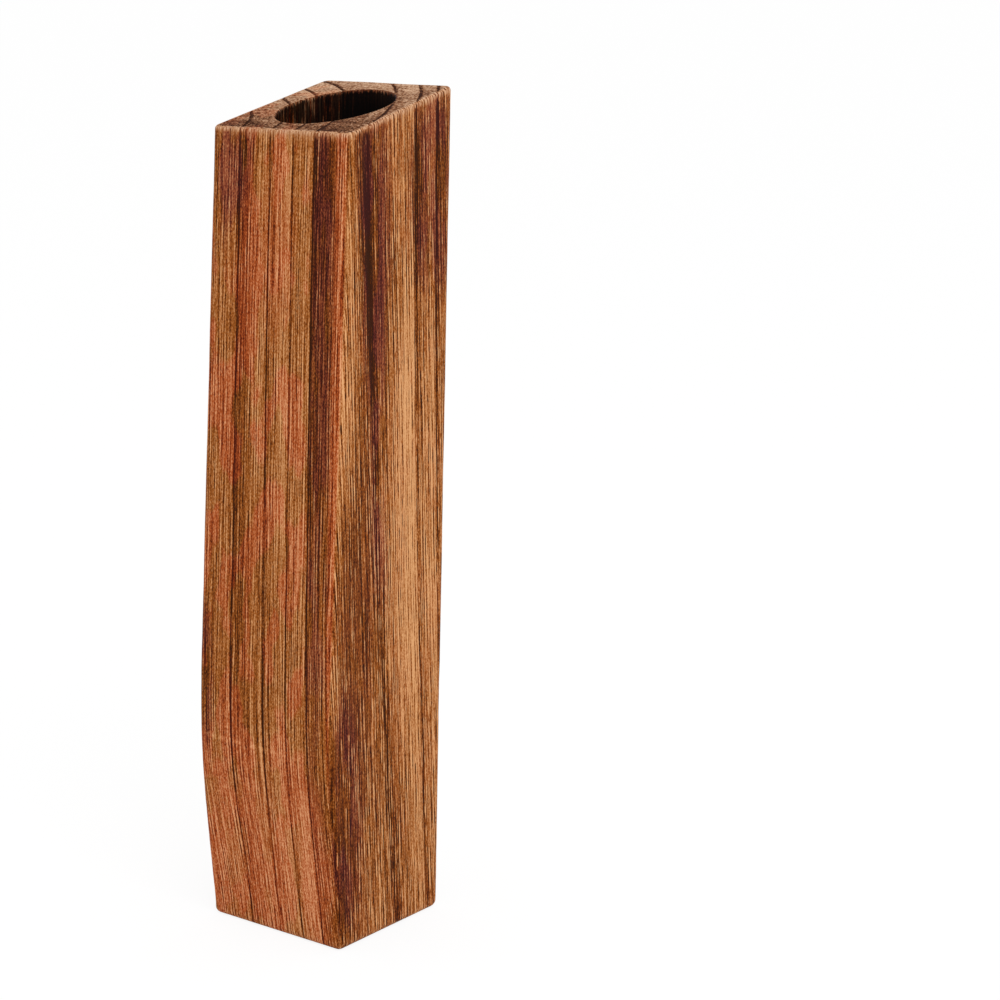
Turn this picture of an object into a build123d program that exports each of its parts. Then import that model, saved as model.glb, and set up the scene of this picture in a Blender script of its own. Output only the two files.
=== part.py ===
import os
from math import radians, tan

from build123d import *

os.makedirs("parts", exist_ok=True)

# Millimetres. The origin is the middle of the base, +Z is up, the ridged front faces -Y.

# Timber block
base_width = 50.0
base_depth = 50.0
block_height = 248.5
arris_radius = 2.25
top_arris_radius = 1.1

# Front face: two facets that meet in a soft ridge
ridge_height = 59.0
ridge_outset = 7.2
ridge_radius = 260.0
front_lean = 2.27

# Right face: one slanting saw cut
right_turn = 4.6
right_lean = 0.37

# Top face: one compound saw cut
top_rise_back = 10.3
top_rise_right = 3.5

# Bore for the tube, drilled straight down with a flat-bottomed bit
bore_diameter = 35.0
bore_floor = 20.0
bore_offset_right = 1.3
bore_offset_front = 0.5
bore_rim_radius = 0.6
spur_diameter = 4.0
spur_depth = 2.0

# Glass test tube with a rolled rim
tube_diameter = 30.0
tube_wall = 1.4
tube_length = 200.0
tube_rim_clearance = 0.5
tube_rim_height = 3.0
tube_neck_radius = 1.2
tube_seat_gap = 0.2

# Saw cuts and drill strokes run past the wood by this much
overrun = 30.0

# Worked out from the sizes above
left_x = -base_width / 2
right_x = base_width / 2
back_y = base_depth / 2
front_y = -base_depth / 2
ridge_y = front_y - ridge_outset
blank_height = block_height + overrun
front_top_y = ridge_y + (blank_height - ridge_height) * tan(radians(front_lean))

bore_x = bore_offset_right
bore_y = -bore_offset_front
bore_radius = bore_diameter / 2
spur_radius = spur_diameter / 2

tube_radius = tube_diameter / 2
tube_inner_radius = tube_radius - tube_wall
tube_rim_outer = bore_radius - tube_rim_clearance
tube_bottom = bore_floor + tube_seat_gap
tube_round_z = tube_bottom + tube_radius
tube_top = tube_bottom + tube_length
tube_rim_base = tube_top - tube_rim_height
bead_share = 0.48
tube_bead_radius = bead_share * tube_rim_height

# Planes of the two slanting saw cuts, each with its normal towards the waste
right_cut = Plane(
    origin=(right_x, 0, 0),
    x_dir=(0, 0, 1),
    z_dir=(1, tan(radians(right_turn)), -tan(radians(right_lean))),
)
top_cut = Plane(
    origin=(0, 0, block_height),
    x_dir=(1, 0, tan(radians(top_rise_right))),
    z_dir=(-tan(radians(top_rise_right)), -tan(radians(top_rise_back)), 1),
)

# Upright plane through the bore, with the bore as its vertical axis
bore_plane = Plane(origin=(bore_x, bore_y, 0), x_dir=(1, 0, 0), z_dir=(0, -1, 0))
bore_axis = Axis((bore_x, bore_y, 0), (0, 0, 1))

# Wooden body: ridged blank, two saw cuts, eased edges, blind bore
with BuildPart() as wooden_body:
    with BuildSketch(Plane.YZ.offset(left_x)) as side_profile:
        with BuildLine():
            Polyline(
                (back_y, 0),
                (front_y, 0),
                (ridge_y, ridge_height),
                (front_top_y, blank_height),
                (back_y, blank_height),
                close=True,
            )
        make_face()
        ridge_corner = side_profile.vertices().sort_by(Axis.X)[0]
        fillet(ridge_corner, radius=ridge_radius)
    extrude(amount=base_width + overrun)
    split(bisect_by=right_cut, keep=Keep.BOTTOM)
    split(bisect_by=top_cut, keep=Keep.BOTTOM)

    level_edges = wooden_body.edges().filter_by(Axis.X)
    ridge_seams = level_edges.filter_by_position(Axis.Z, 0, block_height, inclusive=(False, False))
    top_edges = wooden_body.faces().sort_by(Axis.Z)[-1].edges()
    fillet(wooden_body.edges() - ridge_seams - top_edges, radius=arris_radius)
    top_loop = wooden_body.faces().sort_by(Axis.Z)[-1].edges()
    fillet(top_loop, radius=top_arris_radius)

    with BuildSketch(bore_plane):
        with BuildLine():
            Polyline(
                (0, bore_floor - spur_depth),
                (spur_radius, bore_floor),
                (bore_radius, bore_floor),
                (bore_radius, blank_height),
                (0, blank_height),
                close=True,
            )
        make_face()
    revolve(axis=bore_axis, mode=Mode.SUBTRACT)

    bore_rim = wooden_body.edges().filter_by(GeomType.ELLIPSE).sort_by(Axis.Z)[-1]
    fillet(bore_rim, radius=bore_rim_radius)

wooden_body.part.label = "wooden_body"
wooden_body.part.color = Color(0.48, 0.29, 0.15)
export_step(wooden_body.part, "parts/wooden_body.step")

# Glass tube: round-bottomed, open at the top, with a rolled rim that centres it in the bore
with BuildPart() as glass_tube:
    with BuildSketch(bore_plane) as tube_section:
        with BuildLine():
            CenterArc((0, tube_round_z), tube_radius, -90, 90)
            Polyline(
                (tube_radius, tube_round_z),
                (tube_radius, tube_rim_base),
                (tube_rim_outer, tube_rim_base),
                (tube_rim_outer, tube_top),
                (tube_inner_radius, tube_top),
                (tube_inner_radius, tube_round_z),
            )
            CenterArc((0, tube_round_z), tube_inner_radius, 0, -90)
            Line((0, tube_bottom + tube_wall), (0, tube_bottom))
        make_face()
        rim_corners = tube_section.vertices().filter_by_position(Axis.Y, tube_rim_base, tube_top)
        bead_corners = rim_corners.group_by(Axis.X)[-1]
        mouth_corner = rim_corners.group_by(Axis.X)[0]
        neck_corner = rim_corners.group_by(Axis.X)[1]
        fillet(bead_corners, radius=tube_bead_radius)
        fillet(neck_corner, radius=tube_neck_radius)
        fillet(mouth_corner, radius=tube_wall)
    revolve(axis=bore_axis)

glass_tube.part.label = "glass_tube"
glass_tube.part.color = Color(0.82, 0.90, 0.88, 0.35)
export_step(glass_tube.part, "parts/glass_tube.step")
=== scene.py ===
import math

import bpy
import numpy as np
from bpy.props import FloatProperty, FloatVectorProperty, IntProperty, PointerProperty
from mathutils import Matrix, Vector
from mathutils.bvhtree import BVHTree


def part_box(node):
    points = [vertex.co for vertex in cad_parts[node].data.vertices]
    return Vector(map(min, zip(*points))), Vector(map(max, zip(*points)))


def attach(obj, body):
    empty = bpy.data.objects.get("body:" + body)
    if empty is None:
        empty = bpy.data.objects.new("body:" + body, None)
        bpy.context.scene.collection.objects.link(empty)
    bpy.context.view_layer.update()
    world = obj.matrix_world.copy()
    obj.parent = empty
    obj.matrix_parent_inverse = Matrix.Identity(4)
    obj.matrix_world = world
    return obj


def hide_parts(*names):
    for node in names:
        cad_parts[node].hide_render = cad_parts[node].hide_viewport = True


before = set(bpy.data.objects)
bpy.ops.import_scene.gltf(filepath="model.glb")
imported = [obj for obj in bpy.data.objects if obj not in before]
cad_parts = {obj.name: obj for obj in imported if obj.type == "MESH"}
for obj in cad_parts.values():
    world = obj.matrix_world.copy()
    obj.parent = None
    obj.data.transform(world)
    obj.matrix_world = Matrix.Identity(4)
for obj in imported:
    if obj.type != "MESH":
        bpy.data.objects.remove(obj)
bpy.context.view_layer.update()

bl_info = {
    "name": "Test tube vase",
    "version": (1, 0, 0),
    "blender": (4, 5, 0),
    "location": "View3D > Sidebar > Vase",
    "description": "Builds a timber block vase with its lift-out glass tube, and a plain stage for it",
    "category": "Add Mesh",
}

MM = 0.001
TIMBER_NODE = "wooden_body"
TUBE_NODE = "glass_tube"

# Places read from the frame, in metres: the tube stands in the middle of the bore
tube_low, tube_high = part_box(TUBE_NODE)
BORE_X = (tube_low.x + tube_high.x) / 2
BORE_Y = (tube_low.y + tube_high.y) / 2
BLOCK_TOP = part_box(TIMBER_NODE)[1].z

# Attribute of the block's mesh that holds the wear of its edges, with their painted highlight, from 0 to 1
ARRIS = "arris"

# Growth rings from the pith outwards: where each begins (mm), how much of it stays dark,
# and its tones at first, in the middle and at last
GROWTH_RINGS = (
    (17.0, 0.30, (0.34, 0.38, 0.39)),
    (31.9, 0.30, (0.25, 0.40, 0.43)),
    (43.4, 0.30, (0.35, 0.46, 0.49)),
    (52.1, 0.30, (0.38, 0.42, 0.43)),
    (60.2, 0.52, (0.16, 0.46, 0.28)),
    (73.7, 0.25, (0.22, 0.46, 0.52)),
    (81.2, 0.30, (0.31, 0.43, 0.47)),
    (86.3, 0.30, (0.31, 0.45, 0.49)),
    (97.0, 0.30, (0.31, 0.42, 0.46)),
)
FIRST_RING = GROWTH_RINGS[0][0]
RING_SPAN = GROWTH_RINGS[-1][0] - FIRST_RING

# How far a ring has turned to its middle tone where its dark part ends (a share),
# how far before the next ring it has its last tone (mm), and how far before its ring a line begins (mm)
RING_TURN = 0.2
RING_GAP = 0.3
LINE_LEAD = 0.2

# Tones at which the four colours of a kind of wood stand
COLOR_DEPTHS = ("deep", "dark", "middle", "pale")
COLOR_TONES = (0.10, 0.24, 0.42, 0.70)

# Soft stretches of other colour in the tree: middle (mm), spread (mm), tone shift, plum share, russet share.
# Those whose middle lies further to the right than RIGHT_FACE_FROM (mm) show on the right face alone.
RIGHT_FACE_FROM = 20
STRETCHES = (
    ((27, -26.5, 41), (12, 15, 50), -0.195, 0.95, 0.0),
    ((27, -20, 95), (12, 14, 60), -0.15, 0.2, 0.0),
    ((27, -12, 40), (12, 9, 46), -0.08, 0.15, 0.0),
    ((25, 4, 125), (16, 20, 80), 0.115, 0.0, 0.0),
    ((27, -26, 188), (10, 8, 66), 0.13, 0.0, 0.0),
    ((24, 16, 60), (16, 14, 70), 0.04, 0.0, 0.0),
    ((24, 24, 150), (10, 7, 120), 0.07, 0.0, 0.0),
    ((26, 3, 222), (10, 9, 40), -0.06, 0.0, 0.0),
    ((26, 15, 228), (10, 14, 45), -0.16, 0.9, 0.0),
    ((-6, -29, 24), (30, 12, 42), 0.03, 0.0, 0.6),
    ((26, -12, 215), (10, 11, 60), -0.03, 0.6, 0.0),
    ((-18, -24, 236), (13, 9, 36), -0.09, 0.9, 0.0),
    ((-23, -31, 78), (5, 10, 30), -0.12, 0.8, 0.0),
    ((0, -23, 208), (12, 10, 34), 0.0, 0.0, 0.7),
    ((-18, -23, 214), (9, 9, 30), 0.0, 0.2, -1.0),
    ((27, -10, 135), (10, 6, 40), 0.02, 0.2, 0.0),
    ((27, -13, 208), (10, 7, 44), -0.04, 0.0, 0.0),
    ((19, -28, 24), (9, 10, 46), 0.07, 0.0, 0.8),
    ((-8, -30, 90), (30, 10, 40), -0.035, 0.0, -0.2),
    ((19, -23, 226), (7, 9, 34), -0.06, 0.2, 0.0),
)

# Layers of noise: size of their patches along x, y and z (mm), detail, and a shift that sets them apart
LAYERS = {
    "ring stray": ((16, 16, 60), 2.0, 0.0),
    "ring fray": ((1.3, 1.3, 18), 2.0, 0.0),
    "radial strokes": ((0.45, 1.6, 36), 1.0, 3.7),
    "tangential strokes": ((1.0, 0.5, 50), 1.0, 8.3),
    "dashes": ((0.6, 0.6, 4), 1.0, 12.2),
    "threads": ((1.2, 1.2, 90), 1.0, 17.3),
    "pores": ((0.5, 0.5, 18), 1.0, 11.3),
    "flecks": ((0.32, 0.32, 4.5), 1.0, 7.9),
    "grit": ((0.24, 0.24, 0.7), 1.0, 4.9),
    "bands": ((1.6, 1.6, 160), 2.0, 2.3),
    "clouds": ((9, 9, 40), 2.0, 5.1),
    "saw marks": ((9, 0.35, 9), 1.0, 1.2),
    "mottle": ((0.7, 1.2, 3), 2.0, 5.7),
    "scuffs": ((0.6, 0.6, 6), 2.0, 14.5),
    "warmth": ((9, 9, 24), 2.0, 9.4),
    "purple": ((5, 5, 24), 2.0, 6.1),
    "painted_glints": ((0.4, 0.4, 7), 2.0, 13.1),
    "painted light patches": ((2, 2, 30), 1.0, 16.2),
    "shade edge at the rim": ((0.5, 0.5, 3), 1.0, 15.5),
    "sanding": ((22, 22, 40), 1.0, 6.6),
    "haze": ((9, 9, 14), 3.0, 0.0),
    "draw lines": ((1.5, 1.5, 90), 1.0, 4.4),
}

# Smooth steps from 0 at the first value to 1 at the second, with lengths in mm
STEPS = {
    # Which way a face looks
    "front or back": (0.6, 0.85),
    "away from the left": (-0.85, -0.6),
    "end grain": (0.75, 0.95),
    "edge on": (0.4, 0.85),
    # Radius in the tree
    "outside the heart": (30.0, 52.0),
    "lean begins": (66.0, 72.0),
    "lean ends": (76.0, 82.0),
    "late wood": (57.0, 60.0),
    "warm wood ends": (58.5, 60.5),
    "plum begins": (59.5, 61.5),
    "plum ends": (67.0, 69.5),
    "russet begins": (67.5, 69.5),
    "russet ends": (71.3, 72.8),
    "plum line begins": (73.2, 73.9),
    "plum line ends": (74.8, 76.0),
    # Distance outside the start of a growth ring
    "line begins": (-LINE_LEAD, 0.05),
    "line ends": (0.25, 0.75),
    "ring start begins": (-LINE_LEAD, 0.1),
    "ring start ends": (0.4, 1.3),
    # Height
    "clear of the base": (0.5, 4.0),
    "plum height": (45.0, 100.0),
    "plum line height": (90.0, 120.0),
    "soft lines end": (150.0, 200.0),
    # Share of the height that lies above
    "foot": (0.75, 0.98),
    # Distance to the left or right of the origin, or from the ridge
    "far left wall": (-16.1, -14.6),
    "unlit wall": (-16.5, 0.0),
    "ridge fade": (0.0, 14.0),
    "ridge width": (0.2, 1.1),
    # Distance from the middle of the bore
    "bore wall": (17.6, 18.05),
    "clear of the bore": (17.6, 18.6),
    # Depth below the slanting top
    "fray depth": (0.6, 3.0),
    "shade edge at the rim": (0.0, 1.0),
    "mouth": (0.0, 6.0),
    # Tone
    "dark tone": (0.16, 0.36),
    "pale tone": (0.42, 0.55),
    # Value of a layer of noise
    "thread width": (0.02, 0.08),
    "pore": (0.03, 0.20),
    "scuff": (-0.28, 0.06),
    "warm patch": (-0.02, 0.05),
    "purple patch": (-0.12, 0.06),
    "painted_glint": (0.06, 0.22),
    "painted light patch": (0.02, 0.14),
    "haze": (0.05, 0.30),
    # Distance from the middle of a stretch, as a share of its spread
    "stretch edge": (0.35, 1.0),
}

# How strongly a layer shows everywhere, and how much more or less of it the right face has
STRENGTHS = {
    "dashes": (1.6, 3.2),
    "fibres": (0.9, 0.5),
    "flecks": (0.3, -0.1),
    "threads": (0.045, 0.035),
    "pores": (0.07, -0.02),
    "bands": (0.05, 0.10),
    "clouds": (0.06, 0.08),
    "ground": (0.052, 0.012),
    "calm in pale wood": (0.35, -0.25),
    "calm in dark wood": (0.0, 0.34),
}


def linear(color):
    """An 8-bit colour as linear values."""
    parts = [part / 255 for part in color]
    return tuple(p / 12.92 if p < 0.04045 else ((p + 0.055) / 1.055) ** 2.4 for p in parts)


def color_property(name, description, color):
    return FloatVectorProperty(
        name=name, description=description, size=3, subtype="COLOR", default=color, min=0, max=1)


def wood_color(name, color):
    """A colour property with an 8-bit colour as its default."""
    return color_property(name, "Colour of the timber at one of its tones", linear(color))


def length_property(name, description, length):
    return FloatProperty(name=name, description=description, default=length, unit="LENGTH")


class TimberSettings(bpy.types.PropertyGroup):
    """Sizes and finish of the timber block."""

    pith: FloatVectorProperty(
        name="Pith", description="Where the middle of the tree stood, beside the block",
        size=2, default=(-44.6 * MM, -34.2 * MM), unit="LENGTH", subtype="XYZ")
    flare: length_property("Flare", "How much wider the rings are at the base than at the top", 5.2 * MM)
    wobble: length_property("Ring wobble", "How far a ring strays from a true circle", 0.7 * MM)
    pore_depth: length_property("Pore depth", "Depth of the open grain", 0.07 * MM)
    groove_depth: length_property("Ring groove depth", "Depth of the line at each growth ring", 0.12 * MM)
    sanding: length_property("Sanding waviness", "Unevenness left by hand sanding", 0.30 * MM)
    tan_deep: wood_color("Tan, deep", (54, 22, 3))
    tan_dark: wood_color("Tan, dark", (104, 48, 8))
    tan_middle: wood_color("Tan, middle", (161, 89, 30))
    tan_pale: wood_color("Tan, pale", (225, 166, 113))
    russet_deep: wood_color("Russet, deep", (66, 16, 4))
    russet_dark: wood_color("Russet, dark", (122, 45, 13))
    russet_middle: wood_color("Russet, middle", (178, 85, 36))
    russet_pale: wood_color("Russet, pale", (232, 166, 118))
    plum_deep: wood_color("Plum, deep", (56, 17, 13))
    plum_dark: wood_color("Plum, dark", (109, 44, 31))
    plum_middle: wood_color("Plum, middle", (160, 86, 53))
    plum_pale: wood_color("Plum, pale", (226, 168, 120))
    end_deep: wood_color("End grain, deep", (50, 24, 10))
    end_dark: wood_color("End grain, dark", (98, 58, 36))
    end_middle: wood_color("End grain, middle", (153, 108, 77))
    # The pale end grain colour is greyed beige: partly the wood's own colour, partly painted sheen
    end_pale: wood_color("End grain, pale", (212, 178, 150))
    # Painted shade: a near black colour put on the wall of the bore
    bore_shade: color_property("Bore", "Colour of the scorched wall of the bore", (0.001, 0.0005, 0.0003))
    columns: IntProperty(name="Columns", description="Mesh columns around the block", default=420, min=60)
    rows: IntProperty(name="Rows", description="Mesh rows up the sides", default=104, min=20)


class TubeSettings(bpy.types.PropertyGroup):
    """Sizes and finish of the glass tube."""

    bead: length_property("Rim bead", "Radius of the bead round the rolled rim", 1.45 * MM)
    neck: length_property("Neck", "Radius of the hollow under the rim", 1.2 * MM)
    segments: IntProperty(name="Segments", description="Mesh columns around the tube", default=128, min=24)
    wall_rows: IntProperty(name="Wall rows", description="Mesh rows up each straight wall", default=60, min=4)
    # Edge tint: the glass's green tint, darkened as painted shade where it is seen edge on
    tint: color_property("Edge tint", "Colour of the glass where it is seen edge on", (0.16, 0.24, 0.225))
    clear: color_property("Face tint", "Colour of the glass where it is seen face on", (0.985, 0.99, 0.988))
    index: FloatProperty(name="Refractive index", description="Of borosilicate glass", default=1.47)


class StageSettings(bpy.types.PropertyGroup):
    """Camera, floor and light."""

    camera_place: FloatVectorProperty(
        name="Camera place", description="Where the camera stands", size=3, unit="LENGTH", subtype="XYZ",
        default=(0.70875, -0.80046, 0.39621))
    camera_turn: FloatVectorProperty(
        name="Camera turn", description="Azimuth, elevation and roll of the view", size=3, unit="ROTATION",
        subtype="EULER", default=tuple(math.radians(a) for a in (38.809, 13.955, -1.003)))
    sensor: FloatProperty(name="Sensor", description="Width of the sensor", default=36.0, unit="CAMERA")
    lens: FloatProperty(name="Lens", description="Focal length", default=132.37, unit="CAMERA")
    floor_size: length_property("Floor", "Width of the floor", 6.0)
    floor_color: color_property("Floor colour", "Colour of the matt floor", (0.9, 0.9, 0.9))
    floor_glow: FloatProperty(
        name="Floor glow", description="How bright the floor looks where no shadow falls", default=1.04)
    floor_share: FloatProperty(
        name="Floor glow share", description="How much of the floor's look is glow and how little shadow",
        default=0.85, subtype="FACTOR", min=0, max=1)
    sky: FloatProperty(
        name="Sky light", description="Strength of the even light from all round", default=0.80)
    key: FloatProperty(
        name="Key light", description="Power of the large soft lamp", default=6.0, unit="POWER")
    key_size: length_property("Key size", "Width of the large soft lamp", 0.8)
    key_place: FloatVectorProperty(
        name="Key place", description="Where the large soft lamp hangs", size=3, unit="LENGTH", subtype="XYZ",
        default=(0.9, -0.5, 1.1))


class Field:
    """A socket of a node tree, whose arithmetic adds Math nodes."""

    def __init__(self, book, socket):
        self.book = book
        self.socket = socket

    def __add__(self, other):
        return self.book.math("ADD", self, other)

    __radd__ = __add__

    def __sub__(self, other):
        return self.book.math("SUBTRACT", self, other)

    def __rsub__(self, other):
        return self.book.math("SUBTRACT", other, self)

    def __mul__(self, other):
        return self.book.math("MULTIPLY", self, other)

    __rmul__ = __mul__

    def __truediv__(self, other):
        return self.book.math("DIVIDE", self, other)

    def __rtruediv__(self, other):
        return self.book.math("DIVIDE", other, self)

    def __pow__(self, other):
        return self.book.math("POWER", self, other)


class Book:
    """Adds nodes to one shader or geometry tree."""

    def __init__(self, tree):
        self.tree = tree

    def put(self, socket, value):
        """Links a field to a socket, or sets the socket's own value."""
        if isinstance(value, Field):
            self.tree.links.new(value.socket, socket)
        else:
            socket.default_value = value

    def node(self, kind, settings=None, inputs=None, output=0):
        """A node of that kind, with its settings and then its sockets, as a field of one output."""
        node = self.tree.nodes.new(kind)
        for name, value in (settings or {}).items():
            if name == "stops":
                self.set_stops(node.color_ramp, value)
            elif name == "points":
                self.set_points(node.mapping, value)
            else:
                setattr(node, name, value)
        for name, value in (inputs or {}).items():
            self.put(node.inputs[name], value)
        return Field(self, node.outputs[output]) if node.outputs else None

    def set_stops(self, ramp, stops):
        ramp.elements.remove(ramp.elements[1])
        ramp.elements[0].position = stops[0][0]
        ramp.elements[0].color = (*stops[0][1], 1.0)
        for place, color in stops[1:]:
            ramp.elements.new(place).color = (*color, 1.0)

    def set_points(self, mapping, points):
        curve = mapping.curves[0]
        curve.points[0].location = points[0]
        curve.points[1].location = points[-1]
        for place in points[1:-1]:
            curve.points.new(*place)
        for point in curve.points:
            point.handle_type = "VECTOR"
        mapping.extend = "HORIZONTAL"
        mapping.update()

    def math(self, operation, *values):
        return self.node("ShaderNodeMath", {"operation": operation}, dict(enumerate(values)))

    def vector(self, operation, *values):
        return self.node("ShaderNodeVectorMath", {"operation": operation}, dict(enumerate(values)))

    def scaled(self, vector, factor):
        return self.node("ShaderNodeVectorMath", {"operation": "SCALE"}, {0: vector, "Scale": factor})

    def length(self, vector):
        return self.node("ShaderNodeVectorMath", {"operation": "LENGTH"}, {0: vector}, "Value")

    def hypotenuse(self, across, along):
        return self.math("SQRT", across * across + along * along)

    def split(self, vector):
        node = self.node("ShaderNodeSeparateXYZ", None, {0: vector}).socket.node
        return [Field(self, socket) for socket in node.outputs]

    def noise(self, place, layer):
        """A layer of smooth noise around zero."""
        spread, detail, shift = LAYERS[layer]
        scale = tuple(1 / size for size in spread)
        moved = self.vector("MULTIPLY_ADD", place, scale, (shift, shift, shift))
        return self.node("ShaderNodeTexNoise", None, {"Vector": moved, "Scale": 1.0, "Detail": detail}) - 0.5

    def strokes(self, place, layer, axis):
        """Noise less the same noise one patch further along an axis: fine strokes without broad bands."""
        patch = [0.0, 0.0, 0.0]
        patch[axis] = LAYERS[layer][0][axis]
        beside = self.vector("ADD", place, tuple(patch))
        return self.noise(place, layer) - self.noise(beside, layer)

    def ease(self, value, low, high):
        """A smooth step from 0 at low to 1 at high."""
        settings = {"interpolation_type": "SMOOTHSTEP"}
        return self.node("ShaderNodeMapRange", settings, {0: value, 1: low, 2: high, 3: 0.0, 4: 1.0})

    def step(self, name, value):
        """The smooth step of that name."""
        return self.ease(value, *STEPS[name])

    def between(self, begins, ends, value):
        """1 from one named step to the other, and 0 outside them."""
        return self.step(begins, value) * (1 - self.step(ends, value))

    def mix(self, factor, first, second):
        return self.node("ShaderNodeMix", {"data_type": "RGBA"}, {0: factor, 6: first, 7: second}, 2)


def ring_points():
    """Curve points of tone against radius. A ring starts dark, stays so for a while and then turns light."""
    points = []
    for (start, hold, (first, middle, last)), (end, _, _) in zip(GROWTH_RINGS, GROWTH_RINGS[1:]):
        width = end - start
        points.append((start, first))
        points.append((start + hold * width, first + RING_TURN * (middle - first)))
        points.append((start + (hold + 1) / 2 * width, middle))
        points.append((end - RING_GAP, last))
    return [((radius - FIRST_RING) / RING_SPAN, tone) for radius, tone in points]


def ring_age(book, radius):
    """How far a place lies outside the start of its own growth ring, in mm."""
    out_of_range = 1000.0
    age = radius - FIRST_RING
    for start, _, _ in GROWTH_RINGS[1:]:
        beyond = radius - start
        inside = book.math("LESS_THAN", beyond, -LINE_LEAD)
        age = book.math("MINIMUM", age, inside * out_of_range + beyond)
    return age


class TimberPattern:
    """Growth rings and grain as fields of one node tree, for colour and relief alike. Lengths are in mm."""

    # The tree flares at its foot, less so in its heart, and its outer rings lean between two heights
    heart_flare = 0.28
    flare_power = 1.9
    lean_slope = 0.006
    lean_loss = 0.7
    lean_foot = 80.0
    lean_middle = 135.0
    lean_top = 200.0
    # The fibres climb across the side faces about this height
    climb_middle = 125.0
    climb_slope = 0.0007
    # Share of the ring wobble that frays the lines, and strength of the fibres where no dash changes it
    fray_share = 0.4
    fibre_ground = 0.8

    def __init__(self, book, spot, normal, timber):
        self.book = book
        self.place = book.scaled(spot, 1 / MM)
        self.x, self.y, self.z = book.split(self.place)
        sideways, forwards, self.upwards = book.split(normal)
        self.front = book.step("front or back", book.math("ABSOLUTE", forwards))
        self.side = book.step("away from the left", sideways) * (1 - self.front)
        self.across = self.x - timber.pith[0] / MM
        self.along = self.y - timber.pith[1] / MM
        self.reach = book.hypotenuse(self.across, self.along)
        self.trunk = self.trunk_radius(timber.flare / MM)
        self.set_rings(timber.wobble / MM)
        self.set_grain()

    def strength(self, name):
        """How strongly a layer shows here."""
        everywhere, right_face = STRENGTHS[name]
        return everywhere + self.side * right_face

    def bore_reach(self):
        """Distance from the middle of the bore."""
        return self.book.hypotenuse(self.x - BORE_X / MM, self.y - BORE_Y / MM)

    def trunk_radius(self, flare):
        """Distance from the pith, taken back to the top of the block along the flare and the lean."""
        book = self.book
        above = book.math("MAXIMUM", 1 - self.z / (BLOCK_TOP / MM), 0.0)
        heart = self.heart_flare + book.step("outside the heart", self.reach) * (1 - self.heart_flare)
        spread = heart + (1 - heart) * book.step("foot", above)
        lean = 1 - book.step("lean ends", self.reach) * self.lean_loss
        lean = book.step("lean begins", self.reach) * lean
        height = book.math("MAXIMUM", book.math("MINIMUM", self.z, self.lean_top), self.lean_foot)
        swing = height - self.lean_middle
        return self.reach - above ** self.flare_power * spread * flare - lean * swing * self.lean_slope

    def set_rings(self, wobble):
        """Sets the radius in the tree, the tone of the growth ring and the line where it starts."""
        book = self.book
        stray = book.noise(self.place, "ring stray") * wobble
        stray += book.noise(self.place, "ring fray") * (wobble * self.fray_share)
        self.radius = self.trunk + stray
        ring = (self.radius - FIRST_RING) / RING_SPAN
        self.ring_tone = book.node("ShaderNodeFloatCurve", {"points": ring_points()}, {"Value": ring})
        age = ring_age(book, self.radius)
        self.line = book.between("line begins", "line ends", age)
        self.ring_start = book.between("ring start begins", "ring start ends", age)

    def set_grain(self):
        """Sets the fibres, threads and pores, which follow the rings."""
        book = self.book
        inward = self.trunk / self.reach
        climb = (self.z - self.climb_middle) * (1 - self.front) * self.across * self.climb_slope
        self.grain = book.node("ShaderNodeCombineXYZ", None, {
            "X": self.across * inward,
            "Y": self.along * inward + climb,
            "Z": self.z,
        })
        radial = book.strokes(self.grain, "radial strokes", 0)
        tangential = book.strokes(self.grain, "tangential strokes", 1)
        dashes = book.noise(self.grain, "dashes") * self.strength("dashes")
        self.fibres = (tangential + self.front * (radial - tangential)) * (self.fibre_ground + dashes)
        crossing = book.math("ABSOLUTE", book.noise(self.grain, "threads"))
        self.threads = 1 - book.step("thread width", crossing)
        self.pores = book.step("pore", book.noise(self.grain, "pores"))


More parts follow.
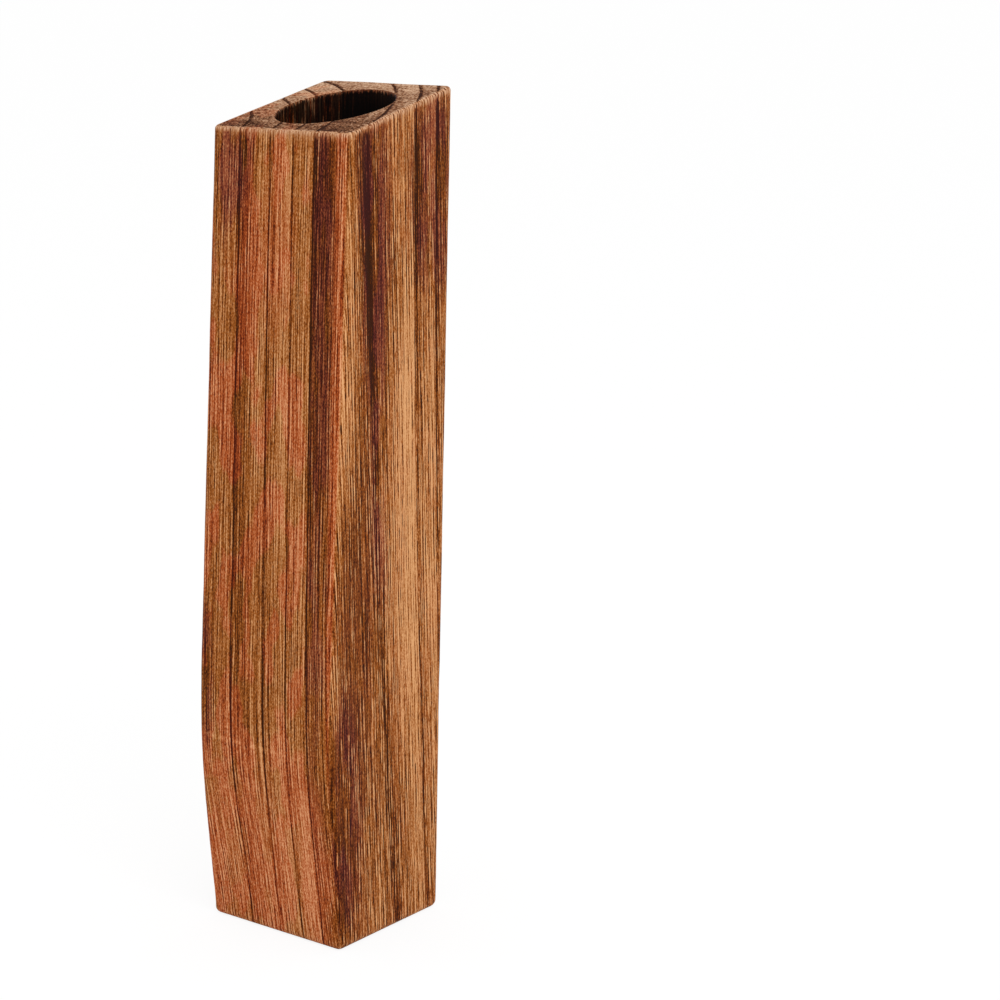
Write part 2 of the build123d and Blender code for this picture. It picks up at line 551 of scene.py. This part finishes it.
class TimberLook(TimberPattern):
    """The pattern in a shader, with the tone and the colour that it gives the timber."""

    # The rings vary about a middle tone, with less contrast on the ends and at the base,
    # where late wood has a little more of it
    middle_tone = 0.41
    base_contrast = 0.5
    late_contrast = 0.08
    end_contrast = 0.45

    # Heights between which that contrast grows to 1, and how they shift in late wood
    contrast_from = 40.0
    contrast_to = 165.0
    late_from = 55.0
    late_to = -5.0

    # Russet and plum wood that follows the rings, and the ragged edges of the stretches
    russet_tone = 0.05
    plum_low = 0.2
    plum_rise = 0.5
    plum_line = 0.7
    stretch_ragged = 0.9

    # Grit all over, and grain that fades on the end grain
    grit_tone = 0.7
    end_fade = 0.6

    # Lines where rings start: fine on the faces, broad on the end grain, softer low on the right face
    line_tone = 0.26
    line_loss = 0.17
    end_line_tone = 0.40
    soft_line_tone = 0.09

    # Pale line along the front ridge, broken by the bands
    ridge_height = 59.5
    ridge_before = -20.0
    ridge_tone = 0.07
    ridge_breaks = 0.5
    ridge_loss = 0.8

    # End grain: saw marks, and painted sheen that makes it lighter towards the back and the left
    saw_tone = 0.7
    end_sheen_shift = -0.018
    end_sheen_back = 0.0064
    end_sheen_left = 0.0016

    # Rubbed edges, and frayed fibres under the edge of the top, paled both for wear and as a painted
    # highlight
    pale_tone = 0.58
    pale_fibres = 0.9
    pale_flecks = 0.5
    fray_scuffs = 9.0
    fray_fibres = 6.0
    frayed_and_highlit_share = 0.6

    # The slanting top: how far its middle lies below its highest corner, and how it rises
    top_drop = 5.7
    top_rise_right = 0.061
    top_rise_back = 0.182

    # Shares of the kinds of wood
    warm_loss = 0.85
    warm_bore = 0.6
    bare_end = 0.88
    bare_loss = 0.28
    bare_worn_and_highlit = 0.6

    # Painted shade on the wall of the bore, deepening further in, with painted light on its left wall
    shade_at_mouth = 0.978
    shade_deeper = 0.017
    shade_rim_share = 0.6
    shade_edge_ragged = 3.0
    painted_glint_share = 0.5
    painted_light_ground = 0.02
    painted_light_power = 2.0
    painted_light_patch_share = 0.35

    def __init__(self, book, timber):
        spot = book.node("ShaderNodeTexCoord", output="Object")
        super().__init__(book, spot, book.node("ShaderNodeNewGeometry", output="Normal"), timber)
        self.end = book.step("end grain", book.math("ABSOLUTE", self.upwards))
        self.arris = book.node("ShaderNodeAttribute", {"attribute_name": ARRIS}, output="Fac")
        self.flecks = book.noise(self.grain, "flecks")
        self.bands = book.noise(self.grain, "bands")
        self.clouds = book.noise(self.place, "clouds")
        self.inside = 1 - book.step("bore wall", self.bore_reach())
        top = (BLOCK_TOP / MM - self.top_drop) + self.x * self.top_rise_right + self.y * self.top_rise_back
        self.depth = top - self.z
        self.start_tone()
        self.add_stretches()
        self.add_grain()
        self.add_lines()
        self.add_ridge()
        self.add_end_grain()
        self.add_wear_and_highlight()

    def start_tone(self):
        """Starts the tone with the rings, and the shares of russet and plum wood that follow them."""
        book = self.book
        late = book.step("late wood", self.radius)
        low = self.base_contrast + late * self.late_contrast
        lower = self.contrast_from + late * self.late_from
        upper = self.contrast_to + late * self.late_to
        strong = low + (1 - low) * book.ease(self.z, lower, upper)
        strong += self.end * (self.end_contrast - strong)
        outer = book.step("russet begins", self.radius) * self.front
        rings = (self.ring_tone - self.middle_tone) * strong + self.middle_tone
        self.tone = rings - outer * self.russet_tone
        self.russet = outer * (1 - book.step("russet ends", self.radius))
        zone = book.between("plum begins", "plum ends", self.radius)
        line = book.between("plum line begins", "plum line ends", self.radius) * self.side
        self.plum = zone * (self.plum_low + book.step("plum height", self.z) * self.plum_rise)
        self.plum += line * book.step("plum line height", self.z) * self.plum_line

    def add_stretches(self):
        """Adds the soft stretches of other colour, with ragged edges."""
        book = self.book
        ragged = self.clouds * self.stretch_ragged
        for middle, spread, shift, plum_share, russet_share in STRETCHES:
            apart = book.vector("DIVIDE", book.vector("SUBTRACT", self.place, middle), spread)
            share = 1 - book.step("stretch edge", book.length(apart) + ragged)
            if middle[0] > RIGHT_FACE_FROM:
                share *= self.side
            self.tone += share * shift
            self.plum += share * plum_share
            self.russet += share * russet_share

    def add_grain(self):
        """Adds the grain, calmer in pale wood, in dark wood on the right face, and on the end grain."""
        book = self.book
        dark = 1 - book.step("dark tone", self.tone)
        calm = 1 - book.step("pale tone", self.tone) * self.strength("calm in pale wood")
        calm *= 1 - dark * self.strength("calm in dark wood")
        lengthwise = 1 - self.end * self.end_fade
        streaks = self.fibres * self.strength("fibres") + self.flecks * self.strength("flecks")
        tone = self.tone + streaks * calm * lengthwise
        tone += book.noise(self.place, "grit") * self.grit_tone
        tone -= self.threads * self.strength("threads") * lengthwise
        tone -= self.pores * self.strength("pores")
        tone += self.bands * self.strength("bands") + self.clouds * self.strength("clouds")
        self.tone = tone + self.strength("ground")

    def add_lines(self):
        """Draws the line at the start of each ring."""
        faces = 1 - self.end
        soft = self.side * (1 - self.book.step("soft lines end", self.z)) * faces
        self.tone -= self.line * (self.line_tone - soft * self.line_loss) * faces
        self.tone -= self.ring_start * (self.end * self.end_line_tone + soft * self.soft_line_tone)

    def add_ridge(self):
        """Draws the pale line where the two front facets meet, which fades to the right."""
        book = self.book
        apart = book.math("ABSOLUTE", self.z - self.ridge_height)
        ridge = (1 - book.step("ridge width", apart)) * book.math("LESS_THAN", self.y, self.ridge_before)
        ridge *= 1 - book.step("ridge fade", self.x) * self.ridge_loss
        self.tone += ridge * (self.ridge_tone + self.bands * self.ridge_breaks)

    def add_end_grain(self):
        """Adds saw marks, mottling and painted sheen to the end grain, lighter towards the back and the left.
        """
        marks = self.book.noise(self.place, "saw marks") * self.saw_tone
        mottle = self.book.noise(self.place, "mottle")
        # Painted sheen: the end grain is lighter towards the back and the left
        painted_sheen = self.y * self.end_sheen_back - self.x * self.end_sheen_left + self.end_sheen_shift
        self.tone += self.end * (marks + mottle + painted_sheen)

    def add_wear_and_highlight(self):
        """Pales the rubbed edges and the frayed ends of the fibres, both for wear and as a painted highlight.
        """
        book = self.book
        scuffs = book.noise(self.place, "scuffs")
        fray = self.depth + scuffs * self.fray_scuffs + self.fibres * self.fray_fibres
        # Wear and painted highlight: pale bands along the edges and just under the edge of the top
        frayed_and_highlit = (1 - book.step("fray depth", fray)) * (1 - self.inside)
        rubbed_and_highlit = self.arris * book.step("scuff", scuffs)
        self.worn_and_highlit = book.math("MAXIMUM", rubbed_and_highlit, frayed_and_highlit * (1 - self.end) * self.frayed_and_highlit_share)
        pale = self.pale_tone + self.fibres * self.pale_fibres + self.flecks * self.pale_flecks
        self.tone += self.worn_and_highlit * (pale - self.tone)

    def painted_bore_shade(self):
        """Painted shade in the bore, deeper further in and lighter at a ragged edge at its rim, with painted
        light in places on its left wall.
        """
        book = self.book
        # Painted light on the left wall of the bore: painted glints, a wall that lightens towards the left,
        # and lighter patches on its far left, held in bare
        painted_glints = book.step("painted_glint", book.noise(self.place, "painted_glints")) * self.painted_glint_share
        bare = book.step("painted light patch", book.noise(self.place, "painted light patches")) * self.painted_light_patch_share
        painted_light = (1 - book.step("unlit wall", self.x)) ** self.painted_light_power * (self.painted_light_ground + painted_glints)
        painted_light += (1 - book.step("far left wall", self.x)) * bare
        # The painted shade starts at the rim along a ragged edge
        ragged = self.depth + book.noise(self.place, "shade edge at the rim") * self.shade_edge_ragged
        shade_rim_fade = self.shade_rim_share + book.step("shade edge at the rim", ragged) * (1 - self.shade_rim_share)
        # Painted shade, darker further into the bore, less the painted light
        dark = self.shade_at_mouth + book.step("mouth", self.depth) * self.shade_deeper - painted_light
        return self.inside * shade_rim_fade * dark

    def kind(self, timber, name):
        """The colour that one kind of wood has at this tone."""
        colors = [getattr(timber, f"{name}_{depth}") for depth in COLOR_DEPTHS]
        stops = [(tone, tuple(color)) for tone, color in zip(COLOR_TONES, colors)]
        return self.book.node("ShaderNodeValToRGB", {"stops": stops}, {0: self.tone})

    def color(self, timber):
        """Tan wood with russet, plum and bare wood in it, pale worn edges that are partly painted highlight,
        and painted shade in the bore.
        """
        book = self.book
        warm = book.step("warm patch", book.noise(self.place, "warmth"))
        warm *= 1 - book.step("warm wood ends", self.radius) * self.warm_loss
        purple = book.step("purple patch", book.noise(self.place, "purple"))
        bare = self.end * (self.bare_end - warm * self.bare_loss)
        shares = {
            "russet": book.math("MINIMUM", warm + self.russet + self.inside * self.warm_bore, 1.0),
            "plum": book.math("MINIMUM", self.plum * purple, 1.0),
            "end": book.math("MAXIMUM", bare, self.worn_and_highlit * self.bare_worn_and_highlit),
        }
        color = self.kind(timber, "tan")
        for name, share in shares.items():
            color = book.mix(share, color, self.kind(timber, name))
        # Painted shade laid over the wall of the bore
        return book.mix(self.painted_bore_shade(), color, (*timber.bore_shade, 1.0))


def empty_book(owner):
    """The emptied node tree of a material or a world."""
    owner.use_nodes = True
    owner.node_tree.nodes.clear()
    return Book(owner.node_tree)


def make_material(name):
    material = bpy.data.materials.new(name)
    return material, empty_book(material)


def close_material(book, shader):
    book.node("ShaderNodeOutputMaterial", None, {"Surface": shader})


def timber_material(timber):
    """Oiled timber: ringed and streaked, mottled on the ends, pale on worn edges partly as painted highlight,
    and dark with painted shade in the bore.
    """
    material, book = make_material("oiled_timber")
    look = TimberLook(book, timber)
    height = look.fibres * 0.6 - look.pores * 0.4 - look.line * 0.5
    bump = book.node("ShaderNodeBump", None, {"Strength": 0.2, "Distance": 0.1 * MM, "Height": height})
    shader = book.node("ShaderNodeBsdfPrincipled", None, {
        "Base Color": look.color(timber),
        "Roughness": 0.6 + look.pores * 0.15 - look.arris * 0.08 + look.end * 0.3,
        "Normal": bump,
        "Specular IOR Level": 0.05,
    })
    close_material(book, shader)
    return material


def glass_material(tube):
    """Clear drawn glass with a faint tint, edges darkened with painted shade, slight draw lines and a little
    haze from hard water.
    """
    material, book = make_material("tube_glass")
    place = book.scaled(book.node("ShaderNodeTexCoord", output="Object"), 1 / MM)
    haze = book.step("haze", book.noise(place, "haze"))
    lines = book.noise(place, "draw lines")
    bump = book.node("ShaderNodeBump", None, {"Strength": 0.12, "Distance": 0.05 * MM, "Height": lines})
    facing = book.node("ShaderNodeLayerWeight", None, {"Blend": 0.5}, "Facing")
    # Painted shade: the glass is darker and greener where it is seen edge on
    color = book.mix(book.step("edge on", facing), (*tube.clear, 1.0), (*tube.tint, 1.0))
    shader = book.node("ShaderNodeBsdfPrincipled", None, {
        "Base Color": color,
        "Roughness": haze * 0.08 + 0.01,
        "Normal": bump,
        "Transmission Weight": 1.0,
        "IOR": tube.index,
    })
    close_material(book, shader)
    return material


def cad_surface(node):
    """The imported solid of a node, ready for rays."""
    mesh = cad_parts[node].data
    corners = [v.co.copy() for v in mesh.vertices]
    return BVHTree.FromPolygons(corners, [tuple(p.vertices) for p in mesh.polygons])


def add_object(name, data):
    """An object in the scene that holds a mesh, a camera or a lamp."""
    holder = bpy.data.objects.new(name, data)
    bpy.context.scene.collection.objects.link(holder)
    return holder


def apply_nodes(piece, tree, values):
    """Runs a geometry tree on a piece and keeps the result as a plain mesh."""
    modifier = piece.modifiers.new(tree.name, "NODES")
    modifier.node_group = tree
    for item in tree.interface.items_tree:
        if item.in_out == "INPUT" and item.name in values:
            modifier[item.identifier] = values[item.name]
    graph = bpy.context.evaluated_depsgraph_get()
    mesh = bpy.data.meshes.new_from_object(piece.evaluated_get(graph))
    piece.modifiers.remove(modifier)
    rough = piece.data
    mesh.name = piece.name
    piece.data = mesh
    bpy.data.meshes.remove(rough)


def new_geometry_tree(name, inputs):
    """A geometry tree with those named inputs, as a book and a dictionary of their fields."""
    tree = bpy.data.node_groups.new(name, "GeometryNodeTree")
    tree.interface.new_socket("Geometry", in_out="INPUT", socket_type="NodeSocketGeometry")
    tree.interface.new_socket("Geometry", in_out="OUTPUT", socket_type="NodeSocketGeometry")
    for title, kind in inputs:
        tree.interface.new_socket(title, in_out="INPUT", socket_type=kind)
    book = Book(tree)
    group = tree.nodes.new("NodeGroupInput")
    return tree, book, {socket.name: Field(book, socket) for socket in group.outputs if socket.name}


def close_geometry_tree(book, geometry, material):
    """Ends a geometry tree with smooth, realized faces of one material."""
    smooth = book.node("GeometryNodeSetShadeSmooth", None, {"Geometry": geometry})
    real = book.node("GeometryNodeRealizeInstances", None, {"Geometry": smooth})
    dressed = book.node("GeometryNodeSetMaterial", None, {"Geometry": real, "Material": material})
    book.node("NodeGroupOutput", None, {0: dressed})


def shares_between(count):
    """Even shares between 0 and 1, without the ends."""
    return np.linspace(0, 1, count + 2)[1:-1]


class BlockSurvey:
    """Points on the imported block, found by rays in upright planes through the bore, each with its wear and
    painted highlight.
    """

    # How far inside each edge the rays over it start
    foot_reach = 3.5 * MM
    top_reach = 1.8 * MM
    rim_reach = 1.5 * MM
    # Rays over each edge
    foot_rays = 9
    top_rays = 13
    rim_rays = 9
    # How worn each edge is, with its painted highlight, and how evenly over its width
    foot_wear_and_highlight = 0.15
    top_wear_and_highlight = 1.0
    rim_wear_and_highlight = 0.4
    wear_and_highlight_power = 0.9
    # Rows across the top and down the bore, where they crowd towards the rim
    top_rows = 15
    bore_rows = 29
    bore_crowding = 1.5
    # Rows across the base and the floor of the bore, as shares of the way out
    base_shares = (0.2, 0.5, 0.8)
    floor_shares = (0.85, 0.5, 0.2)
    # A depth under the highest corner at which there is wood all round, and a place clear of the block
    below_slant = 16 * MM
    far = 0.2

    up = Vector((0, 0, 1))
    right = Vector((1, 0, 0))

    def __init__(self, timber):
        self.surface = cad_surface(TIMBER_NODE)
        self.rows = timber.rows
        turns = np.arange(timber.columns) * (2 * math.pi / timber.columns)
        self.ways = [Vector((math.cos(a), math.sin(a), 0)) for a in turns]
        self.bore = self.cast(self.spot(self.right, 0, BLOCK_TOP / 2), self.right).x - BORE_X
        self.floor = self.floor_at(self.right, self.bore / 2)

    def spot(self, way, reach, height):
        return Vector((BORE_X, BORE_Y, height)) + way * reach

    def cast(self, start, direction):
        hit = self.surface.ray_cast(start, direction)[0]
        if hit is None:
            raise RuntimeError("a ray missed the block")
        return hit

    def side_at(self, way, height):
        return self.cast(self.spot(way, self.far, height), -way)

    def side_reach(self, way, height):
        hit = self.side_at(way, height)
        return math.hypot(hit.x - BORE_X, hit.y - BORE_Y)

    def top_height(self, way, reach):
        return self.cast(self.spot(way, reach, self.far + BLOCK_TOP), -self.up).z

    def floor_at(self, way, reach):
        return self.cast(self.spot(way, reach, BLOCK_TOP / 2), -self.up).z

    def fan(self, pivot, way, start, end, rays, wear_and_highlight):
        """Hits from a place inside the wood, from one angle above outward to another, in degrees."""
        hits = []
        for share in np.linspace(0, 1, rays):
            angle = math.radians(start + share * (end - start))
            hit = self.cast(pivot, way * math.cos(angle) + self.up * math.sin(angle))
            hits.append((*hit, wear_and_highlight * math.sin(math.pi * share) ** self.wear_and_highlight_power))
        return hits

    def outside(self, way):
        """Points from under the base and up the side, and the height at which the side ends."""
        near = self.foot_reach
        foot = self.side_reach(way, near) - near
        points = [(*self.spot(way, share * foot, 0), 0) for share in self.base_shares]
        points += self.fan(self.spot(way, foot, near), way, -90, 0, self.foot_rays, self.foot_wear_and_highlight)
        edge = self.side_reach(way, BLOCK_TOP - self.below_slant)
        end = self.top_height(way, edge - 2 * self.top_reach) - self.top_reach
        for share in shares_between(self.rows):
            points.append((*self.side_at(way, near + share * (end - near)), 0))
        return points, end

    def column(self, way):
        """One closed section of the block, from under the base, up, over the top and down the bore."""
        points, end = self.outside(way)
        edge = self.side_reach(way, end - self.top_reach) - self.top_reach
        pivot = self.spot(way, edge, self.top_height(way, edge) - self.top_reach)
        points += self.fan(pivot, way, 0, 90, self.top_rays, self.top_wear_and_highlight)
        inner = self.bore + self.rim_reach
        for share in shares_between(self.top_rows):
            reach = edge + share * (inner - edge)
            points.append((*self.spot(way, reach, self.top_height(way, reach)), 0))
        rim = self.top_height(way, inner) - self.rim_reach
        points += self.fan(self.spot(way, inner, rim), way, 90, 180, self.rim_rays, self.rim_wear_and_highlight)
        for share in np.linspace(0, 1, self.bore_rows + 1)[1:] ** self.bore_crowding:
            points.append((*self.spot(way, self.bore, rim + share * (self.floor - rim)), 0))
        for share in self.floor_shares:
            reach = share * self.bore
            points.append((*self.spot(way, reach, self.floor_at(way, reach)), 0))
        return points


def block_mesh(timber):
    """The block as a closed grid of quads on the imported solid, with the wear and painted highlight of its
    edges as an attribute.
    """
    survey = BlockSurvey(timber)
    grid = np.array([survey.column(way) for way in survey.ways])
    columns, rows, _ = grid.shape
    corners = grid[:, :, :3].reshape(-1, 3).tolist()
    base = len(corners)
    floor = base + 1
    corners.append((BORE_X, BORE_Y, 0.0))
    corners.append((BORE_X, BORE_Y, survey.floor_at(survey.right, 0.0)))
    faces = []
    for column in range(columns):
        here = column * rows
        there = (column + 1) % columns * rows
        faces.append((base, there, here))
        for row in range(rows - 1):
            faces.append((here + row, there + row, there + row + 1, here + row + 1))
        faces.append((here + rows - 1, there + rows - 1, floor))
    mesh = bpy.data.meshes.new("timber_block")
    mesh.from_pydata(corners, [], faces)
    wear_and_highlight = np.append(grid[:, :, 3].ravel(), (0.0, 0.0)).astype(np.float32)
    mesh.attributes.new(ARRIS, "FLOAT", "POINT").data.foreach_set("value", wear_and_highlight)
    mesh.validate()
    return mesh


def relief_tree(timber):
    """Presses grain and ring lines into the surface, less on edges and in the bore. The base stays flat."""
    arris_loss = 0.8
    bore_share = 0.25
    pore_share = 0.5
    names = ("Pore depth", "Groove depth", "Sanding")
    inputs = [(name, "NodeSocketFloat") for name in names] + [("Material", "NodeSocketMaterial")]
    tree, book, given = new_geometry_tree("timber_relief", inputs)
    normal = book.node("GeometryNodeInputNormal")
    pattern = TimberPattern(book, book.node("GeometryNodeInputPosition"), normal, timber)
    waves = book.noise(pattern.place, "sanding") * given["Sanding"]
    arris = book.node("GeometryNodeInputNamedAttribute", {"data_type": "FLOAT"}, {"Name": ARRIS})
    grain = (pattern.fibres - pattern.pores * pore_share) * given["Pore depth"]
    height = (grain - pattern.line * given["Groove depth"]) * (1 - arris * arris_loss) + waves
    outside = book.step("clear of the bore", pattern.bore_reach())
    height = height * book.step("clear of the base", pattern.z) * (bore_share + outside * (1 - bore_share))
    moved = book.node("GeometryNodeSetPosition", None, {
        "Geometry": given["Geometry"],
        "Offset": book.scaled(normal, height),
    })
    close_geometry_tree(book, moved, given["Material"])
    return tree


# Mesh rows round each arc of the tube's section
BOTTOM_ROWS = 40
NECK_ROWS = 10
BEAD_ROWS = 24
LIP_ROWS = 14


def tube_section(surface, tube):
    """Half of the tube's section, from the bottom outside, over the rim, to the bottom inside."""
    outward = Vector((1, 0, 0))
    axis = Vector((BORE_X, BORE_Y, (tube_low.z + tube_high.z) / 2))
    outer = surface.ray_cast(axis + outward, -outward)[0].x - BORE_X
    inner = surface.ray_cast(axis, outward)[0].x - BORE_X
    rim = (tube_high.x - tube_low.x) / 2
    wall = outer - inner
    bead = tube.bead
    neck = tube.neck
    round_top = tube_low.z + outer
    neck_low = tube_high.z - 2 * bead - neck
    points = []

    def arc(center, radius, start, end, rows):
        for turn in np.linspace(math.radians(start), math.radians(end), rows):
            points.append((center[0] + radius * math.cos(turn), center[1] + radius * math.sin(turn)))

    def straight(reach, start, end):
        for share in shares_between(tube.wall_rows):
            points.append((reach, start + share * (end - start)))

    arc((0, round_top), outer, -90, 0, BOTTOM_ROWS)
    straight(outer, round_top, neck_low)
    arc((outer + neck, neck_low), neck, 180, 90, NECK_ROWS)
    arc((rim - bead, tube_high.z - bead), bead, -90, 90, BEAD_ROWS)
    arc((inner + wall, tube_high.z - wall), wall, 90, 180, LIP_ROWS)
    straight(inner, tube_high.z - wall, round_top)
    arc((0, round_top), inner, 0, -90, BOTTOM_ROWS)
    return points


def section_mesh(points):
    mesh = bpy.data.meshes.new("tube_section")
    mesh.from_pydata([(reach, 0, height) for reach, height in points], [], [])
    return mesh


def lathe_tree():
    """Turns the points of a section that stands on the XZ plane about the bore's axis."""
    inputs = [("Segments", "NodeSocketInt"), ("Rows", "NodeSocketInt"), ("Material", "NodeSocketMaterial")]
    tree, book, given = new_geometry_tree("lathe", inputs)
    grid = book.node("GeometryNodeMeshGrid", None, {
        "Size X": 1.0, "Size Y": 1.0, "Vertices X": given["Segments"] + 1, "Vertices Y": given["Rows"]})
    position = book.node("GeometryNodeInputPosition")
    across, along, _ = book.split(position)
    row = book.math("ROUND", (along + 0.5) * (given["Rows"] - 1))
    settings = {"data_type": "FLOAT_VECTOR", "domain": "POINT"}
    sample = {"Geometry": given["Geometry"], "Value": position, "Index": row}
    reach, _, height = book.split(book.node("GeometryNodeSampleIndex", settings, sample))
    turn = (across + 0.5) * (2 * math.pi)
    place = book.node("ShaderNodeCombineXYZ", None, {
        "X": reach * book.math("COSINE", turn) + BORE_X,
        "Y": reach * book.math("SINE", turn) + BORE_Y,
        "Z": height})
    turned = book.node("GeometryNodeSetPosition", None, {"Geometry": grid, "Position": place})
    joined = book.node("GeometryNodeMergeByDistance", None, {"Geometry": turned, "Distance": 0.001 * MM})
    close_geometry_tree(book, joined, given["Material"])
    return tree


class VASE_OT_timber_block(bpy.types.Operator):
    """Make the timber block with its rings, grain and eased edges."""

    bl_idname = "vase.timber_block"
    bl_label = "Timber block"

    def execute(self, context):
        timber = context.scene.vase_timber
        piece = add_object("timber_block", block_mesh(timber))
        apply_nodes(piece, relief_tree(timber), {
            "Pore depth": timber.pore_depth,
            "Groove depth": timber.groove_depth,
            "Sanding": timber.sanding,
            "Material": timber_material(timber),
        })
        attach(piece, "block")
        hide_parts(TIMBER_NODE)
        return {"FINISHED"}


class VASE_OT_glass_tube(bpy.types.Operator):
    """Make the round-bottomed glass tube with its rolled rim."""

    bl_idname = "vase.glass_tube"
    bl_label = "Glass tube"

    def execute(self, context):
        tube = context.scene.vase_tube
        section = tube_section(cad_surface(TUBE_NODE), tube)
        piece = add_object("test_tube", section_mesh(section))
        apply_nodes(piece, lathe_tree(), {
            "Segments": tube.segments,
            "Rows": len(section),
            "Material": glass_material(tube),
        })
        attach(piece, "tube")
        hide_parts(TUBE_NODE)
        return {"FINISHED"}


def camera_axes(turn):
    """The camera's right, up and back directions for an azimuth, an elevation and a roll."""
    azimuth, elevation, roll = turn
    back = Vector((math.sin(azimuth) * math.cos(elevation), -math.cos(azimuth) * math.cos(elevation),
                   math.sin(elevation)))
    right = Vector((math.cos(azimuth), math.sin(azimuth), 0))
    up = back.cross(right)
    level = math.cos(roll)
    tilt = math.sin(roll)
    return right * level - up * tilt, right * tilt + up * level, back


def place_camera(stage):
    camera = add_object("camera", bpy.data.cameras.new("camera"))
    right, up, back = camera_axes(stage.camera_turn)
    turn = Matrix((right, up, back)).transposed().to_4x4()
    camera.matrix_world = Matrix.Translation(Vector(stage.camera_place)) @ turn
    camera.data.sensor_width = stage.sensor
    camera.data.lens = stage.lens
    bpy.context.scene.camera = camera


def seen_directly(book):
    """1 for what the camera, a reflection or the glass sees, and 0 for what only lights the object."""
    path = book.node("ShaderNodeLightPath").socket.node.outputs
    seen = Field(book, path["Is Camera Ray"]) + Field(book, path["Is Glossy Ray"])
    return book.math("MINIMUM", seen + Field(book, path["Is Transmission Ray"]), 1.0)


def place_world(stage):
    world = bpy.data.worlds.new("studio")
    book = empty_book(world)
    strength = seen_directly(book) * (1 - stage.sky) + stage.sky
    sky = book.node("ShaderNodeBackground", None, {"Color": (1, 1, 1, 1), "Strength": strength})
    book.node("ShaderNodeOutputWorld", None, {"Surface": sky})
    bpy.context.scene.world = world


def place_floor(stage):
    """A wide pale floor just under the base, which looks white and keeps a soft shadow."""
    half = stage.floor_size / 2
    drop = -0.05 * MM
    corners = [(-half, -half, drop), (half, -half, drop), (half, half, drop), (-half, half, drop)]
    mesh = bpy.data.meshes.new("floor")
    mesh.from_pydata(corners, [], [(0, 1, 2, 3)])
    floor = add_object("floor", mesh)
    material, book = make_material("pale_floor")
    matt = book.node("ShaderNodeBsdfDiffuse", None, {"Color": (*stage.floor_color, 1)})
    glow = book.node("ShaderNodeEmission", None, {"Color": (1, 1, 1, 1), "Strength": stage.floor_glow})
    share = seen_directly(book) * stage.floor_share
    close_material(book, book.node("ShaderNodeMixShader", None, {0: share, 1: matt, 2: glow}))
    mesh.materials.append(material)


def place_key_lamp(stage):
    """A large soft lamp that points at the middle of the block."""
    lamp = bpy.data.lights.new("softbox", "AREA")
    lamp.energy = stage.key
    lamp.size = stage.key_size
    holder = add_object("softbox", lamp)
    holder.location = stage.key_place
    ahead = Vector((0, 0, BLOCK_TOP / 2)) - holder.location
    holder.rotation_euler = ahead.to_track_quat("-Z", "Y").to_euler()


class VASE_OT_stage(bpy.types.Operator):
    """Set the camera, the floor and the soft studio light."""

    bl_idname = "vase.stage"
    bl_label = "Stage"

    def execute(self, context):
        stage = context.scene.vase_stage
        place_camera(stage)
        place_world(stage)
        place_floor(stage)
        place_key_lamp(stage)
        context.scene.view_settings.view_transform = "Standard"
        return {"FINISHED"}


class VASE_PT_sidebar(bpy.types.Panel):
    """Lists the vase's pieces and their settings."""

    bl_label = "Test tube vase"
    bl_space_type = "VIEW_3D"
    bl_region_type = "UI"
    bl_category = "Vase"

    def draw(self, context):
        for operator, settings in (
            (VASE_OT_timber_block, context.scene.vase_timber),
            (VASE_OT_glass_tube, context.scene.vase_tube),
            (VASE_OT_stage, context.scene.vase_stage),
        ):
            box = self.layout.box()
            for name in settings.__annotations__:
                box.prop(settings, name)
            box.operator(operator.bl_idname)


CLASSES = (
    TimberSettings, TubeSettings, StageSettings,
    VASE_OT_timber_block, VASE_OT_glass_tube, VASE_OT_stage, VASE_PT_sidebar,
)


def register():
    for cls in CLASSES:
        bpy.utils.register_class(cls)
    bpy.types.Scene.vase_timber = PointerProperty(type=TimberSettings)
    bpy.types.Scene.vase_tube = PointerProperty(type=TubeSettings)
    bpy.types.Scene.vase_stage = PointerProperty(type=StageSettings)


def unregister():
    del bpy.types.Scene.vase_stage
    del bpy.types.Scene.vase_tube
    del bpy.types.Scene.vase_timber
    for cls in reversed(CLASSES):
        bpy.utils.unregister_class(cls)


def main():
    register()
    bpy.ops.vase.stage()
    bpy.ops.vase.timber_block()
    bpy.ops.vase.glass_tube()


if __name__ == "__main__":
    main()
